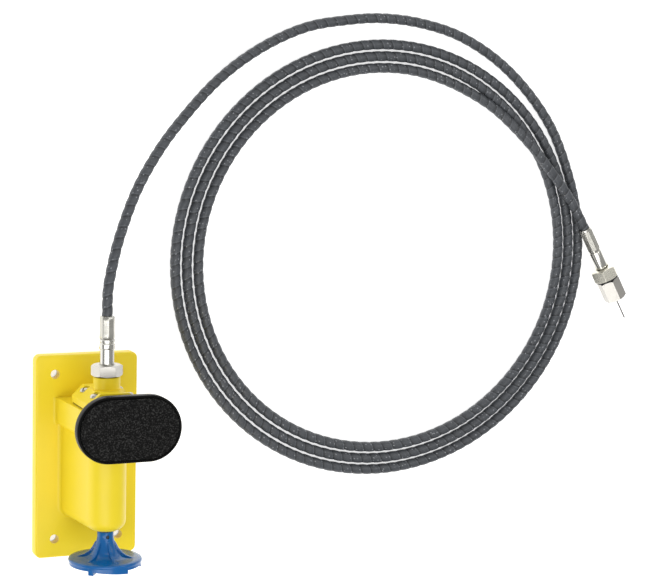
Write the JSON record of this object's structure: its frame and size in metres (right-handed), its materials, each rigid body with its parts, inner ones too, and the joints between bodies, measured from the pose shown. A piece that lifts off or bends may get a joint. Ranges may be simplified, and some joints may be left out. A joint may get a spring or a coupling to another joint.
{
  "type": "foot valve actuator",
  "caption": "Foot-operated actuator with an oval pedal pad, a manual star knob and a long ribbed conduit that carries the stroke to a remote valve fitting.",
  "frame": {"origin": "middle of the flat mounting face at the rear of the base plate", "axes": "+Z away from the mounting face towards the pedal pad, +Y along the base plate towards the cable outlet, +X across it; the cable lies flat in the plane of the mounting face"},
  "size_m": [0.6764, 0.554, 0.158],
  "materials": {
    "yellow_moulding": "moulded, soft gloss",
    "blue_moulding": "moulded, high gloss",
    "black_moulding": "gloss",
    "grip_rubber": "fine textured",
    "seal_rubber": "matte",
    "nickel": "satin and polished nickel plate",
    "steel": "zinc plated",
    "bronze": "machined",
    "conduit": "ribbed sheath"
  },
  "bodies": {
    "base": {"housing": "yellow_moulding", "back_plate": "steel", "back_screw_1": "steel", "back_screw_2": "steel", "back_screw_3": "steel", "back_screw_4": "steel", "back_screw_5": "steel", "back_screw_6": "steel", "cable_cover": "yellow_moulding", "cover_gasket": "seal_rubber", "cover_screw_1": "nickel", "cover_screw_2": "nickel", "cover_screw_3": "nickel", "cover_screw_4": "nickel", "guide_bush": "bronze", "stem_wiper": "seal_rubber", "pedal_spring": "steel", "rocker_pin": "steel", "spindle_bush": "bronze", "cable_nut": "nickel", "cable_ferrule": "nickel", "conduit_lead": "conduit", "conduit_coil": "conduit", "conduit_tail": "conduit", "end_ferrule": "nickel", "end_seal": "seal_rubber", "end_body": "nickel"},
    "pedal": {"pedal_stem": "nickel", "stem_stop_ring": "steel", "pedal_plate": "black_moulding", "pedal_grip": "grip_rubber", "pedal_screw": "steel"},
    "rocker": {"rocker": "steel"},
    "yoke": {"yoke": "steel", "yoke_pin": "steel", "core_wire": "steel"},
    "knob": {"knob": "blue_moulding", "knob_grub_screw": "steel", "spindle": "steel"},
    "pusher": {"pusher_nut": "bronze"},
    "end_nut": {"end_nut": "nickel"},
    "end_core": {"end_wire": "steel"}
  },
  "joints": [
    {"name": "pedal_push", "type": "slide", "parent": "base", "child": "pedal", "axis": [0, 0, -1], "range_m": [0, 0.014], "stiffness_N_per_m": 1500, "springref_m": -0.012, "deforming": ["pedal_spring"]},
    {"name": "rocker_turn", "type": "hinge", "parent": "base", "child": "rocker", "pos_m": [0, 0.01, 0.044], "axis": [-1, 0, 0], "range_deg": [0, 20.8]},
    {"name": "yoke_slide", "type": "slide", "parent": "base", "child": "yoke", "axis": [0, 1, 0], "range_m": [0, 0.0133]},
    {"name": "end_core_slide", "type": "slide", "parent": "base", "child": "end_core", "axis": [0.4802, -0.8771, 0], "range_m": [0, 0.0133]},
    {"name": "knob_turn", "type": "hinge", "parent": "base", "child": "knob", "pos_m": [0, -0.09, 0.08], "axis": [0, -1, 0], "range_deg": [0, 2160]},
    {"name": "pusher_slide", "type": "slide", "parent": "base", "child": "pusher", "axis": [0, 1, 0], "range_m": [0, 0.0181]},
    {"name": "end_nut_spin", "type": "hinge", "parent": "base", "child": "end_nut", "pos_m": [0.59453, 0.17013, 0.0158], "axis": [0.4802, -0.8771, 0], "continuous": true}
  ],
  "couplings": [
    {"joint": "rocker_turn", "follows": "pedal_push", "rad_per_m": 25.8},
    {"joint": "yoke_slide", "follows": "pedal_push", "ratio": 0.943},
    {"joint": "end_core_slide", "follows": "pedal_push", "ratio": 0.943},
    {"joint": "pusher_slide", "follows": "knob_turn", "m_per_rad": 0.00047746}
  ]
}
